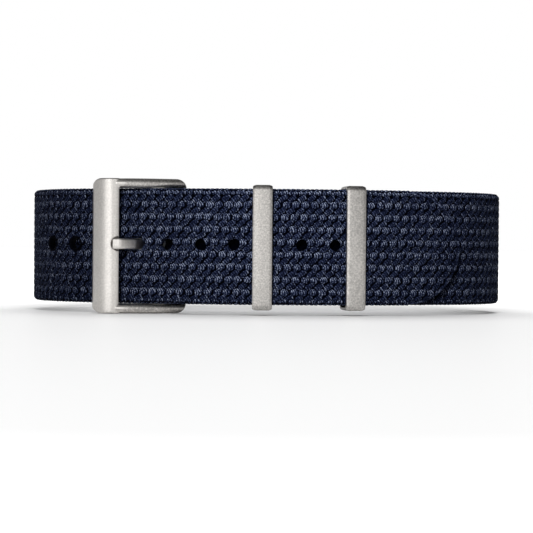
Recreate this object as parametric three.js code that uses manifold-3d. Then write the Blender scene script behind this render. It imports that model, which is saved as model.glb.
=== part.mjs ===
// A one-piece woven pass-through band for a fitness tracker or watch, buckled into a loop and
// standing on its edge. Millimetres, +Z up. The buckle and the overlapping tail face -Y, and the
// flat seat for the tracker head faces +Y.
//
// The webbing's path is drawn in the XY plane and extruded along Z. Places on it are given as
// (s, depth): s is the length along the tail's outer face, from the middle of the front, positive
// towards +X, and depth is measured inward from that face.
import * as THREE from 'three';
import { mergeVertices } from 'three/addons/utils/BufferGeometryUtils.js';
import Module from 'manifold-3d';

const wasm = await Module();
wasm.setup();

// Webbing
const STRAP_WIDTH = 19.8;
const STRAP_THICKNESS = 1.2;
const LAYER_GAP = 0.3;
const STRAP_BOTTOM = 1.8;
const STRAP_MIDDLE = STRAP_BOTTOM + STRAP_WIDTH / 2;

// Loop: a shallow front arc, a tighter arc at each end and a straight back
const HALF_LENGTH = 42.9;
const FRONT_RADIUS = 76;
const END_RADIUS = 19.5;

// Depths of the layers on the front, each measured to the middle of its thickness
const LAYER_PITCH = STRAP_THICKNESS + LAYER_GAP;
const TAIL_DEPTH = STRAP_THICKNESS / 2;
const MAIN_DEPTH = TAIL_DEPTH + LAYER_PITCH;
const LINING_DEPTH = MAIN_DEPTH + LAYER_PITCH;

// Adjustment holes, tongue hole and tip
const HOLE_PITCH = 5.85;
const HOLE_RADIUS = 1.0;
const HOLE_HEIGHT = STRAP_MIDDLE + 0.35;
const FIRST_HOLE_S = 11.9;
const HOLES = 10;
const BUCKLED_HOLE = 6;
const TIP_S = 35.3;
const TIP_LENGTH = 9.1;
const TAIL_HINGE_S = 18.4;
const TAIL_HINGE_GAP = 0.3;

// Keepers
const KEEPER_S = [-0.73, 15.3];
const KEEPER_WIDTH = 3.4;
const KEEPER_BAR = 1.0;
const KEEPER_SIDE = 0.7;
const KEEPER_OPENING = 20.1;
const KEEPER_SAG = 0.13;
const KEEPER_TRAVEL = 1.0;
const FLAP_KEEPER_X = -21;

// The head's seat is the straight back up to here. Past it the strap lies a little lower.
const SEAT_END_X = -17.5;
const SEAT_STEP = 0.12;

// Buckle
const BUCKLE_HEIGHT = 23.4;
const ARM_THICKNESS = 1.6;
const ARM_DEPTH = 2.8;
const FRONT_BAR_S = [-31, -25.5];
const FRONT_BAR_CREST_S = -27.8;
const FRONT_BAR_RISE = 2.1;
const HINGE_S = -16.4;
const EYE_RADIUS = 1.5;
const BARREL_RADIUS = 0.75;
const TONGUE_WIDTH = 1.9;
const TONGUE_THICKNESS = 0.9;
const HINGE_DEPTH = MAIN_DEPTH + STRAP_THICKNESS / 2 + LAYER_GAP + BARREL_RADIUS;

// Bar tacks, each a raised bar of stitches across the inner face
const TACK_LENGTH = 15;
const TACK_WIDTH = 1.2;
const TACK_HEIGHT = 0.5;
const TACK_GAP = 0.1;
const TACKS_S = [-11.1, -6.9, 5.4, 8.9, 21.7];
const FLAP_TACK_X = -13.4;

const NYLON = { color: 0x18224a, roughness: 0.9, metalness: 0 };
const STEEL = { color: 0xb9b4ad, roughness: 0.4, metalness: 1 };
const THREAD = { color: 0x10183a, roughness: 0.85, metalness: 0 };

const object = new THREE.Group();

// --- The loop's frame of reference ---------------------------------------------------------

/** One half of the loop: the angle where its end arc starts, and that arc's centre. */
function loopHalf(side, endDepth) {
  const centreX = HALF_LENGTH - (END_RADIUS - endDepth);
  const angle = Math.asin(centreX / (FRONT_RADIUS - END_RADIUS));
  const centreY = FRONT_RADIUS - (FRONT_RADIUS - END_RADIUS) * Math.cos(angle);
  return { side, angle, centre: new THREE.Vector2(side * centreX, centreY) };
}

// On the left the webbing's single layer is at the tail's depth, on the right at the main layer's.
const LEFT = loopHalf(-1, 0);
const RIGHT = loopHalf(1, LAYER_PITCH);
const BACK_Y = RIGHT.centre.y + END_RADIUS - LAYER_PITCH;

/** The centre and angle of the arc at s. The angle turns from -Y towards +X. */
function station(s) {
  const half = s < 0 ? LEFT : RIGHT;
  const past = Math.abs(s) - FRONT_RADIUS * half.angle;
  if (past <= 0) {
    return { centre: new THREE.Vector2(0, FRONT_RADIUS), radius: FRONT_RADIUS, angle: s / FRONT_RADIUS };
  }
  const angle = half.side * (half.angle + past / END_RADIUS);
  return { centre: half.centre, radius: END_RADIUS, angle };
}

/** A point of a circle, with the angle turning from -Y towards +X. */
function onCircle(centre, radius, angle) {
  return new THREE.Vector2(centre.x + radius * Math.sin(angle), centre.y - radius * Math.cos(angle));
}

/** The place (s, depth) in the XY plane. */
function at(s, depth) {
  const { centre, radius, angle } = station(s);
  return onCircle(centre, radius - depth, angle);
}

/** Evenly spaced numbers from first to last, no further apart than step. */
function range(first, last, step) {
  const count = Math.max(1, Math.ceil(Math.abs(last - first) / step));
  return Array.from({ length: count + 1 }, (_, i) => first + ((last - first) * i) / count);
}

/** Points along the loop from one s to another. depth is a number or a function of s. */
function run(first, last, depth, step = 2.6) {
  const depthAt = typeof depth === 'function' ? depth : () => depth;
  return range(first, last, step).map((s) => at(s, depthAt(s)));
}

/** Points along a circle's arc. */
function arc(centre, radius, first, last, step = 0.14) {
  return range(first, last, step).map((angle) => onCircle(centre, radius, angle));
}

/** A value that rises smoothly from 0 to 1 as x goes from first to last. */
function ease(x, first, last) {
  return THREE.MathUtils.smoothstep(x, first, last);
}

// --- Solids ----------------------------------------------------------------------------------

/** A closed geometry as a manifold solid. */
function solid(geometry) {
  const bare = geometry.clone();
  bare.deleteAttribute('normal');
  bare.deleteAttribute('uv');
  const merged = mergeVertices(bare, 1e-5);
  const vertProperties = new Float32Array(merged.attributes.position.array);
  const triVerts = new Uint32Array(merged.index.array);
  return new wasm.Manifold(new wasm.Mesh({ numProp: 3, vertProperties, triVerts }));
}

/** A manifold solid as a geometry. */
function geometryOf(manifold) {
  const mesh = manifold.getMesh();
  const geometry = new THREE.BufferGeometry();
  geometry.setAttribute('position', new THREE.BufferAttribute(new Float32Array(mesh.vertProperties), 3));
  geometry.setIndex(new THREE.BufferAttribute(new Uint32Array(mesh.triVerts), 1));
  geometry.computeVertexNormals();
  return geometry;
}

/** An outline in the XY plane, extruded from one height to another. */
function prism(outline, bottom, top) {
  const geometry = new THREE.ExtrudeGeometry(new THREE.Shape(outline), {
    depth: top - bottom,
    bevelEnabled: false,
  });
  return geometry.translate(0, 0, bottom);
}

/** The outline of a strip of constant thickness along a line of points. */
function ribbonOutline(line, thickness) {
  const outer = [];
  const inner = [];
  line.forEach((point, i) => {
    const before = line[Math.max(i - 1, 0)];
    const after = line[Math.min(i + 1, line.length - 1)];
    const along = after.clone().sub(before).normalize();
    const across = new THREE.Vector2(along.y, -along.x).multiplyScalar(thickness / 2);
    outer.push(point.clone().add(across));
    inner.push(point.clone().sub(across));
  });
  return [...outer, ...inner.reverse()];
}

/** A strip of webbing of the full width along a line of points. */
function webbing(line) {
  return solid(prism(ribbonOutline(line, STRAP_THICKNESS), STRAP_BOTTOM, STRAP_BOTTOM + STRAP_WIDTH));
}

/** A straight-sided block between two s and two depths, for cutting windows. */
function block(sRange, depthRange, height, middle) {
  const outline = [
    ...run(sRange[0], sRange[1], depthRange[0], 1),
    ...run(sRange[1], sRange[0], depthRange[1], 1),
  ];
  return solid(prism(outline, middle - height / 2, middle + height / 2));
}

/** A round punch through the tail at s. */
function punch(s) {
  const geometry = new THREE.CylinderGeometry(HOLE_RADIUS, HOLE_RADIUS, STRAP_THICKNESS + LAYER_GAP, 16);
  const place = at(s, TAIL_DEPTH);
  geometry.rotateZ(station(s).angle).translate(place.x, place.y, HOLE_HEIGHT);
  return solid(geometry);
}

function add(name, geometry, material) {
  const mesh = new THREE.Mesh(geometry, new THREE.MeshStandardMaterial(material));
  mesh.name = name;
  object.add(mesh);
  return mesh;
}

// --- Webbing -------------------------------------------------------------------------------

/** Where the inner layers bulge inward over a keeper's hidden bar. */
function keeperBulge(distance) {
  const flat = KEEPER_WIDTH / 2 + KEEPER_TRAVEL + 0.3;
  return (KEEPER_BAR + LAYER_GAP) * (1 - ease(Math.abs(distance), flat, flat + 2));
}

/** The whole strap's line: sewn end, bar, main layer, right end, back, left end, tail. */
function strapLine(tailEnd) {
  const foldRadius = BARREL_RADIUS + LAYER_GAP + STRAP_THICKNESS / 2;
  const bar = at(HINGE_S, HINGE_DEPTH);
  const barAngle = station(HINGE_S).angle;
  const innerLeg = HINGE_DEPTH + foldRadius;
  const sewnEnd = (s) => LINING_DEPTH + (innerLeg - LINING_DEPTH) * (1 - ease(s, HINGE_S, -12.2));
  const backCentreline = BACK_Y - STRAP_THICKNESS / 2;
  const backRadius = BACK_Y - LEFT.centre.y;
  const backCentre = new THREE.Vector2(backRadius - HALF_LENGTH, LEFT.centre.y);
  const widest = FRONT_RADIUS * LEFT.angle + END_RADIUS * (Math.PI / 2 - LEFT.angle);
  const rightEnd = FRONT_RADIUS * RIGHT.angle + END_RADIUS * (Math.PI - RIGHT.angle);
  return [
    ...run(-9, HINGE_S + 0.4, sewnEnd, 0.9),
    ...arc(bar, foldRadius, barAngle - Math.PI, barAngle, 0.3),
    ...run(HINGE_S + 1.2, rightEnd, MAIN_DEPTH),
    new THREE.Vector2(SEAT_END_X, backCentreline),
    new THREE.Vector2(SEAT_END_X - 1, backCentreline - SEAT_STEP),
    ...arc(backCentre, backRadius - STRAP_THICKNESS / 2, -Math.PI, -Math.PI / 2),
    ...run(-widest, tailEnd, TAIL_DEPTH).slice(1),
  ];
}

function makeStrap() {
  let strap = webbing(strapLine(TAIL_HINGE_S - TAIL_HINGE_GAP));
  for (let i = 0; i < HOLES; i += 1) {
    strap = strap.subtract(punch(FIRST_HOLE_S - i * HOLE_PITCH));
  }
  const tongueHole = FIRST_HOLE_S - BUCKLED_HOLE * HOLE_PITCH;
  const pulledOpen = [tongueHole - 2.95, tongueHole + 2.95];
  const tailOnly = [-0.2, STRAP_THICKNESS + LAYER_GAP / 2];
  strap = strap.subtract(block(pulledOpen, tailOnly, TONGUE_WIDTH + 0.5, HOLE_HEIGHT));
  const foldSlot = [HINGE_S - 3, HINGE_S + 2.7];
  strap = strap.subtract(block(foldSlot, [tailOnly[1], 6.4], TONGUE_WIDTH + 0.6, HOLE_HEIGHT));
  add('strap_webbing', geometryOf(strap), NYLON);
}

/** The free end past the second keeper, with its rounded, heat-sealed tip. */
function makeTailEnd() {
  const strip = webbing(run(TAIL_HINGE_S, TIP_S, TAIL_DEPTH));
  const tipX = at(TIP_S, 0).x;
  const shape = new THREE.Shape();
  shape.moveTo(0, STRAP_BOTTOM - 1);
  shape.lineTo(tipX - TIP_LENGTH, STRAP_BOTTOM - 1);
  shape.lineTo(tipX - TIP_LENGTH, STRAP_BOTTOM);
  shape.absellipse(tipX - TIP_LENGTH, STRAP_MIDDLE, TIP_LENGTH, STRAP_WIDTH / 2, -Math.PI / 2, Math.PI / 2);
  shape.lineTo(tipX - TIP_LENGTH, STRAP_BOTTOM + STRAP_WIDTH + 1);
  shape.lineTo(0, STRAP_BOTTOM + STRAP_WIDTH + 1);
  const mask = new THREE.ExtrudeGeometry(shape, { depth: 30, bevelEnabled: false, curveSegments: 14 });
  mask.rotateX(Math.PI / 2).translate(0, 25, 0);
  add('strap_tail_end', geometryOf(strip.intersect(solid(mask))), NYLON);
}

/** The short inner strap: sewn under the main layer, then free round the back to its own keeper. */
function makeFlap() {
  const depth = (s) => LINING_DEPTH + KEEPER_S.reduce((sum, k) => sum + keeperBulge(s - k), 0);
  const rightEnd = FRONT_RADIUS * RIGHT.angle + END_RADIUS * (Math.PI - RIGHT.angle);
  const nearY = BACK_Y - MAIN_DEPTH;
  const foldRadius = KEEPER_BAR / 2 + LAYER_GAP + STRAP_THICKNESS / 2;
  const foldX = FLAP_KEEPER_X - KEEPER_WIDTH / 2 - KEEPER_TRAVEL - 0.2;
  const foldCentre = new THREE.Vector2(foldX, nearY - foldRadius);
  const returning = (x) => {
    const bulge = keeperBulge(x - FLAP_KEEPER_X);
    return new THREE.Vector2(x, nearY - LAYER_PITCH - bulge);
  };
  const line = [
    ...run(-8.4, 24, depth, 1.1),
    ...run(26, rightEnd, LINING_DEPTH),
    ...arc(foldCentre, foldRadius, Math.PI, Math.PI * 2, 0.35),
    ...range(foldX + 0.7, FLAP_TACK_X + 2.4, 1).map(returning),
  ];
  add('flap_webbing', geometryOf(webbing(line)), NYLON);
}

/** One raised bar of stitches, rounded at both ends, standing on an inner face. */
function tackGeometry() {
  const half = TACK_LENGTH / 2 - TACK_WIDTH / 2;
  const shape = new THREE.Shape();
  shape.absarc(0, half, TACK_WIDTH / 2, 0, Math.PI);
  shape.absarc(0, -half, TACK_WIDTH / 2, Math.PI, 2 * Math.PI);
  const geometry = new THREE.ExtrudeGeometry(shape, {
    depth: TACK_HEIGHT,
    bevelEnabled: false,
    curveSegments: 8,
  });
  return geometry.rotateX(Math.PI / 2).translate(0, TACK_HEIGHT, 0);
}

function makeTacks() {
  const faceDepth = LINING_DEPTH + STRAP_THICKNESS / 2 + TACK_GAP;
  TACKS_S.forEach((s, i) => {
    const tack = add(`bar_tack_${i + 1}`, tackGeometry(), THREAD);
    const place = at(s, faceDepth);
    tack.position.set(place.x, place.y, STRAP_MIDDLE);
    tack.rotation.z = station(s).angle;
  });
  const last = add(`bar_tack_${TACKS_S.length + 1}`, tackGeometry(), THREAD);
  last.position.set(FLAP_TACK_X, BACK_Y - faceDepth, STRAP_MIDDLE);
  last.rotation.z = Math.PI;
}

// --- Keepers ---------------------------------------------------------------------------------

/** A rounded rectangle as a path. */
function roundedRect(path, left, bottom, right, top, radius) {
  path.moveTo(left + radius, bottom);
  path.absarc(right - radius, bottom + radius, radius, -Math.PI / 2, 0);
  path.absarc(right - radius, top - radius, radius, 0, Math.PI / 2);
  path.absarc(left + radius, top - radius, radius, Math.PI / 2, Math.PI);
  path.absarc(left + radius, bottom + radius, radius, Math.PI, 1.5 * Math.PI);
  return path;
}

/** A flat steel ring. Its own frame: X along the strap, Y inward from the strap's outer face. */
function keeperGeometry() {
  const low = -LAYER_GAP;
  const high = low + 2 * LAYER_PITCH + LAYER_GAP;
  const half = KEEPER_OPENING / 2;
  const outline = roundedRect(
    new THREE.Shape(), low - KEEPER_BAR, -half - KEEPER_SIDE, high + KEEPER_BAR, half + KEEPER_SIDE, 0.9,
  );
  outline.holes.push(roundedRect(new THREE.Path(), low, -half, high, half, 0.3));
  const geometry = new THREE.ExtrudeGeometry(outline, {
    depth: KEEPER_WIDTH,
    bevelEnabled: false,
    curveSegments: 4,
  });
  geometry.translate(0, 0, -KEEPER_WIDTH / 2);
  const turn = new THREE.Matrix4().makeBasis(
    new THREE.Vector3(0, 1, 0), new THREE.Vector3(0, 0, 1), new THREE.Vector3(1, 0, 0),
  );
  return geometry.applyMatrix4(turn);
}

function makeKeepers() {
  const height = STRAP_MIDDLE - KEEPER_SAG;
  KEEPER_S.forEach((s, i) => {
    const keeper = add(`keeper_${i + 1}`, keeperGeometry(), STEEL);
    const place = at(s, 0);
    keeper.position.set(place.x, place.y, height);
    keeper.rotation.z = station(s).angle;
  });
  const last = add('keeper_3', keeperGeometry(), STEEL);
  last.position.set(FLAP_KEEPER_X, BACK_Y, height);
  last.rotation.z = Math.PI;
}

// --- Buckle ----------------------------------------------------------------------------------

/** A smooth line through a few (s, depth) places. */
function curveLine(places, divisions) {
  const points = places.map(([s, depth]) => at(s, depth));
  return new THREE.SplineCurve(points).getPoints(divisions);
}

/** A cylinder along Z between two heights, centred on the hinge. */
function hingeCylinder(radius, bottom, top, sides = 20) {
  const bar = at(HINGE_S, HINGE_DEPTH);
  const geometry = new THREE.CylinderGeometry(radius, radius, top - bottom, sides);
  return geometry.rotateX(Math.PI / 2).translate(bar.x, bar.y, (bottom + top) / 2);
}

/**
 * The crowned front bar's section: a quarter ellipse on the left, then a flatter arc down to a free
 * edge on the right, with the underside cut back so that the strap is clear below that edge.
 */
function frontBarOutline() {
  const [first, last] = FRONT_BAR_S;
  const half = FRONT_BAR_CREST_S - first;
  const crest = -LAYER_GAP - FRONT_BAR_RISE;
  const sweep = (50 * Math.PI) / 180;
  const wide = (last - FRONT_BAR_CREST_S) / Math.sin(sweep);
  const left = range(0, Math.PI / 2, Math.PI / 14).map((angle) => at(
    FRONT_BAR_CREST_S - half * Math.cos(angle),
    -LAYER_GAP - FRONT_BAR_RISE * Math.sin(angle),
  ));
  const right = range(0, sweep, sweep / 6).slice(1).map((angle) => at(
    FRONT_BAR_CREST_S + wide * Math.sin(angle),
    crest + 0.85 * wide * (1 - Math.cos(angle)),
  ));
  return [...left, ...right, at(last - 0.35, -1), at(-27, -LAYER_GAP)];
}

/** The frame seen from the front, with its rounded outer corners, as a cutting mask. */
function frameMask() {
  const left = at(FRONT_BAR_S[0], -1).x;
  const right = at(HINGE_S, HINGE_DEPTH).x + EYE_RADIUS;
  const shape = roundedRect(new THREE.Shape(), left, 0, right, BUCKLE_HEIGHT, 1.9);
  const mask = new THREE.ExtrudeGeometry(shape, { depth: 30, bevelEnabled: false, curveSegments: 6 });
  return solid(mask.rotateX(Math.PI / 2).translate(0, 20, 0));
}

function makeFrame() {
  const top = BUCKLE_HEIGHT;
  const armPlaces = [[-29.4, -0.5], [-26, -0.5], [-22.4, 0.5], [-19.2, 2.1], [HINGE_S, HINGE_DEPTH]];
  const armLine = curveLine(armPlaces, 14);
  const armOutline = ribbonOutline(armLine, ARM_DEPTH);
  let frame = solid(prism(frontBarOutline(), 0, top));
  for (const bottom of [0, top - ARM_THICKNESS]) {
    frame = frame.add(solid(prism(armOutline, bottom, bottom + ARM_THICKNESS)));
    frame = frame.add(solid(hingeCylinder(EYE_RADIUS, bottom, bottom + ARM_THICKNESS)));
  }
  frame = frame.intersect(frameMask());
  const pivotHole = 0.45;
  frame = frame.subtract(solid(hingeCylinder(pivotHole, 0.5, ARM_THICKNESS + 0.2, 12)));
  frame = frame.subtract(solid(hingeCylinder(pivotHole, top - ARM_THICKNESS - 0.2, top - 0.5, 12)));
  const notch = block([-26.7, FRONT_BAR_S[1] + 0.5], [-3.5, -1.5], 2.4, HOLE_HEIGHT);
  add('buckle_frame', geometryOf(frame.subtract(notch)), STEEL);
}

/** The tongue: an eye rolled round the barrel and a shank that bends out through the tail. */
function makeTongue() {
  const eyeRadius = BARREL_RADIUS + 0.15;
  const bottom = HOLE_HEIGHT - TONGUE_WIDTH / 2;
  const top = HOLE_HEIGHT + TONGUE_WIDTH / 2;
  const places = [
    [-17.4, 3.95], [-19.4, 3.8], [-21.3, 2.8], [-22.75, 1.1], [-23.4, 0.15],
    [-24.05, -0.85], [-24.65, -1.75], [-25.15, -2.15], [-25.6, -2.22], [-26.25, -2.25],
  ];
  const shank = solid(prism(ribbonOutline(curveLine(places, 20), TONGUE_THICKNESS), bottom, top));
  const eye = solid(hingeCylinder(eyeRadius + 0.55, bottom, top));
  const bore = solid(hingeCylinder(eyeRadius, bottom - 1, top + 1));
  add('buckle_tongue', geometryOf(shank.add(eye).subtract(bore)), STEEL);
}

/** A round piece turned about the hinge's axis from a closed (radius, height) profile. */
function turned(profile, sides = 14) {
  const points = profile.map(([radius, height]) => new THREE.Vector2(radius, height));
  const bar = at(HINGE_S, HINGE_DEPTH);
  const geometry = new THREE.LatheGeometry(points, sides).rotateX(Math.PI / 2);
  return geometry.translate(bar.x, bar.y, 0);
}

/** The sprung bar: a crimped tube, a pivot at each end and the spring between them. */
function makeSpringBar() {
  const end = ARM_THICKNESS + 0.15;
  const crimp = 0.5;
  const far = BUCKLE_HEIGHT - end;
  add('bar_barrel', turned([
    [0.38, end], [BARREL_RADIUS, end], [BARREL_RADIUS, far], [0.38, far],
    [0.38, far - crimp], [0.5, far - crimp], [0.5, end + crimp], [0.38, end + crimp], [0.38, end],
  ]), STEEL);
  const tip = 0.65;
  const head = end + crimp + 0.15;
  const foot = head + 0.8;
  const pivot = [
    [0, tip], [0.2, tip], [0.28, tip + 0.12], [0.28, head], [0.4, head], [0.4, foot], [0, foot],
  ];
  add('bar_pivot_lower', turned(pivot, 12), STEEL);
  const upper = pivot.map(([radius, height]) => [radius, BUCKLE_HEIGHT - height]).reverse();
  add('bar_pivot_upper', turned(upper, 12), STEEL);
  makeSpring(foot + 0.8, BUCKLE_HEIGHT - foot - 0.8);
}

/** A wire spring between two heights inside the barrel. */
class Helix extends THREE.Curve {
  constructor(centre, radius, bottom, top, turns) {
    super();
    Object.assign(this, { centre, radius, bottom, top, turns });
  }

  getPoint(t, target = new THREE.Vector3()) {
    const angle = t * this.turns * 2 * Math.PI;
    const x = this.centre.x + this.radius * Math.cos(angle);
    const y = this.centre.y + this.radius * Math.sin(angle);
    return target.set(x, y, this.bottom + (this.top - this.bottom) * t);
  }
}

function makeSpring(bottom, top) {
  const turns = 9;
  const wire = new THREE.Shape();
  wire.absarc(0, 0, 0.09, 0, 2 * Math.PI);
  const geometry = new THREE.ExtrudeGeometry(wire, {
    extrudePath: new Helix(at(HINGE_S, HINGE_DEPTH), 0.33, bottom, top, turns),
    steps: turns * 9,
    curveSegments: 3,
    bevelEnabled: false,
  });
  add('bar_spring', geometry, STEEL);
}

// --- Assembly --------------------------------------------------------------------------------

makeStrap();
makeTailEnd();
makeFlap();
makeTacks();
makeKeepers();
makeFrame();
makeTongue();
makeSpringBar();

// The origin is under the middle of the whole object's box, on the surface it stands on.
const box = new THREE.Box3().setFromObject(object, true);
const middle = box.getCenter(new THREE.Vector3());
object.position.set(-middle.x, -middle.y, -box.min.z);
object.updateMatrixWorld(true);

export default object;
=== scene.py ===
"""The woven band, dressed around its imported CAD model.

The strap, flap and free end are swept from the same lines as the CAD solids, with the weave as real
relief. The keepers, buckle and tongue are finely rounded steel. Lengths are in millimetres until a
mesh is made. (s, depth) is a place on the loop: s is the length along the tail's outer face from
the middle of the front, positive towards +X, and depth is measured inward.
"""

import math

import bmesh
import bpy
import numpy as np
from mathutils import Euler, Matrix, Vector

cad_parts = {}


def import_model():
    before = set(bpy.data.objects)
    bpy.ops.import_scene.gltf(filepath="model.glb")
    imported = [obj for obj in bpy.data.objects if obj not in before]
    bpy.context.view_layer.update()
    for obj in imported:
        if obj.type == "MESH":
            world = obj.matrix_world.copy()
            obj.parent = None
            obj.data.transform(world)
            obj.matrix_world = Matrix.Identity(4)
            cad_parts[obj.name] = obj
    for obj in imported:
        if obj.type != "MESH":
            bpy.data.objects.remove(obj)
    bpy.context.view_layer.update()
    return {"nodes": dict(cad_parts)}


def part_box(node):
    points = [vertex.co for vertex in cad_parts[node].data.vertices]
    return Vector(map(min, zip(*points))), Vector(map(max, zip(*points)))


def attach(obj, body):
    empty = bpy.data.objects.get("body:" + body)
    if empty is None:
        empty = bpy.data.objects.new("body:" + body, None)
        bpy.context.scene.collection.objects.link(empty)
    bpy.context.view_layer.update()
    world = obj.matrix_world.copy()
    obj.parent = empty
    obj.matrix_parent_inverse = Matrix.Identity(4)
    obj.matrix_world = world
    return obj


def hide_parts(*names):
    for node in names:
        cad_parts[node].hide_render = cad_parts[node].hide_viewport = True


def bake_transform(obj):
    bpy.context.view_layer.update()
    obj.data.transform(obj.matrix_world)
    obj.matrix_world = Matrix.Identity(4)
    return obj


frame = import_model()

MM = 0.001
EYE_HEIGHT = 11.7

# --- The loop, with the CAD model's own numbers -------------------------------------------------

STRAP_WIDTH = 19.8
THICKNESS = 1.2
GAP = 0.3
PITCH_DEPTH = THICKNESS + GAP
STRAP_MIDDLE = 11.7
HALF_LENGTH = 42.9
FRONT_RADIUS = 76.0
END_RADIUS = 19.5
TAIL_DEPTH = THICKNESS / 2
MAIN_DEPTH = TAIL_DEPTH + PITCH_DEPTH
LINING_DEPTH = MAIN_DEPTH + PITCH_DEPTH

HOLE_HEIGHT = STRAP_MIDDLE + 0.35
HOLE_RADIUS = 1.0
HOLES_S = [11.9 - 5.85 * i for i in range(10)]
BUCKLED_S = HOLES_S[6]
TIP_S = 35.3
TIP_LENGTH = 9.9       # along the strap, where the CAD gives its width seen from the front
TAIL_HINGE_S = 18.25   # the middle of the CAD's gap
TONGUE_HOLE = (-23.75, 1.12, 1.05)   # its middle's s, its radius and half the length it is pulled to

KEEPER_S = [-0.73, 15.3]
KEEPER_WIDTH = 3.4
KEEPER_BAR = 1.0
KEEPER_SIDE = 0.7
KEEPER_OPENING = 20.1
KEEPER_SLACK = 0.07    # how much wider the opening is than the CAD's, all round
KEEPER_SAG = 0.13
KEEPER_TRAVEL = 1.0
FLAP_KEEPER_X = -21.0
SEAT_END_X = -17.5
SEAT_STEP = 0.12

BUCKLE_HEIGHT = 23.4
ARM_THICKNESS = 1.6
ARM_DEPTH = 2.8
ARM_LIP = 0.13
FRONT_BAR_S = (-31.0, -25.5)
FRONT_BAR_CREST_S = -27.8
FRONT_BAR_RISE = 2.1
BARREL_RADIUS = 0.75
HINGE_S = -16.4
HINGE_DEPTH = MAIN_DEPTH + THICKNESS / 2 + GAP + BARREL_RADIUS
EYE_RADIUS = 1.5
TONGUE_WIDTH = 1.9
TONGUE_THICKNESS = 0.9

TACK_LENGTH = 15.0
TACK_WIDTH = 1.2
TACKS_S = [-11.1, -6.9, 5.4, 8.9, 21.7]
FLAP_TACK_X = -13.4


def loop_half(end_depth):
    """One half of the loop: the angle where its end arc starts, and that arc's centre."""
    x = HALF_LENGTH - (END_RADIUS - end_depth)
    angle = math.asin(x / (FRONT_RADIUS - END_RADIUS))
    return angle, x, FRONT_RADIUS - (FRONT_RADIUS - END_RADIUS) * math.cos(angle)


LEFT = loop_half(0)
RIGHT = loop_half(PITCH_DEPTH)
BACK_Y = RIGHT[2] + END_RADIUS - PITCH_DEPTH
WIDEST_S = FRONT_RADIUS * LEFT[0] + END_RADIUS * (math.pi / 2 - LEFT[0])
RIGHT_END_S = FRONT_RADIUS * RIGHT[0] + END_RADIUS * (math.pi - RIGHT[0])
SHIFT_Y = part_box("strap_webbing")[1].y / MM - BACK_Y


def station(s):
    """The centre, radius and angle of the arc at s. The angle turns from -Y towards +X."""
    s = np.asarray(s, float)
    side = np.where(s < 0, -1.0, 1.0)
    angle, x, y = (np.where(s < 0, a, b) for a, b in zip(LEFT, RIGHT))
    past = np.abs(s) - FRONT_RADIUS * angle
    front = past <= 0
    turned = np.where(front, s / FRONT_RADIUS, side * (angle + past / END_RADIUS))
    radius = np.where(front, FRONT_RADIUS, END_RADIUS)
    return np.where(front, 0, side * x), np.where(front, FRONT_RADIUS, y), radius, turned


def at(s, depth):
    """The place (s, depth) in the XY plane."""
    x, y, radius, angle = station(s)
    reach = radius - depth
    return np.stack([x + reach * np.sin(angle), y - reach * np.cos(angle)], -1)


def arc(centre, radius, first, last):
    """Points of a circle's arc, a twentieth of a millimetre apart."""
    angle = np.linspace(first, last, max(3, int(abs(last - first) * radius / 0.05)))
    return np.stack([centre[0] + radius * np.sin(angle), centre[1] - radius * np.cos(angle)], -1)


def run(first, last, depth):
    """Points along the loop from one s to another. depth is a number or a function of s."""
    s = np.linspace(first, last, max(3, int(abs(last - first) / 0.05)))
    return at(s, depth(s) if callable(depth) else depth)


def ease(x, first, last):
    """Rises smoothly from 0 to 1 as x goes from first to last."""
    t = np.clip((x - first) / (last - first), 0, 1)
    return t * t * (3 - 2 * t)


class Line:
    """A strip's centreline, closely sampled, with the outward normal and the length of each face."""

    STEP = 0.04

    def __init__(self, parts):
        points = np.concatenate(parts)
        keep = np.r_[True, np.linalg.norm(np.diff(points, axis=0), axis=1) > 1e-4]
        points = points[keep]
        length = np.r_[0, np.cumsum(np.linalg.norm(np.diff(points, axis=0), axis=1))]
        count = int(length[-1] / self.STEP) + 1
        self.t = np.linspace(0, length[-1], count)
        self.points = np.stack([np.interp(self.t, length, points[:, k]) for k in (0, 1)], -1)
        along = np.gradient(self.points, axis=0)
        window = np.hanning(25)
        window /= window.sum()
        padded = np.pad(along, ((12, 12), (0, 0)), mode="edge")
        along = np.stack([np.convolve(padded[:, k], window, "valid") for k in (0, 1)], -1)
        along /= np.linalg.norm(along, axis=1, keepdims=True)
        self.normal = np.stack([along[:, 1], -along[:, 0]], -1)
        self.face = {}
        for name, side in (("outer", 1), ("inner", -1)):
            face = self.points + self.normal * side * THICKNESS / 2
            self.face[name] = np.r_[0, np.cumsum(np.linalg.norm(np.diff(face, axis=0), axis=1))]

    def nearest(self, point):
        """The length along the centreline at the sample nearest to a point."""
        return float(self.t[np.argmin(np.linalg.norm(self.points - point, axis=1))])

    def sample(self, values, t):
        if values.ndim == 1:
            return np.interp(t, self.t, values)
        return np.stack([np.interp(t, self.t, values[:, k]) for k in range(values.shape[1])], -1)


def strap_line():
    """The whole strap: sewn end, bar, main layer, right end, back, left end, tail."""
    fold = BARREL_RADIUS + GAP + THICKNESS / 2
    bar = at(HINGE_S, HINGE_DEPTH)
    bar_angle = float(station(HINGE_S)[3])
    leg = HINGE_DEPTH + fold
    back = BACK_Y - THICKNESS / 2
    back_radius = BACK_Y - LEFT[2]
    return Line([
        run(-9, HINGE_S + 0.4, lambda s: LINING_DEPTH + (leg - LINING_DEPTH) * (1 - ease(s, HINGE_S, -12.2))),
        arc(bar, fold, bar_angle - math.pi, bar_angle),
        run(HINGE_S + 1.2, RIGHT_END_S, MAIN_DEPTH),
        np.array([[SEAT_END_X, back], [SEAT_END_X - 1, back - SEAT_STEP]]),
        arc((back_radius - HALF_LENGTH, LEFT[2]), back_radius - THICKNESS / 2, -math.pi, -math.pi / 2),
        run(-WIDEST_S, TIP_S, TAIL_DEPTH),
    ])


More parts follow.
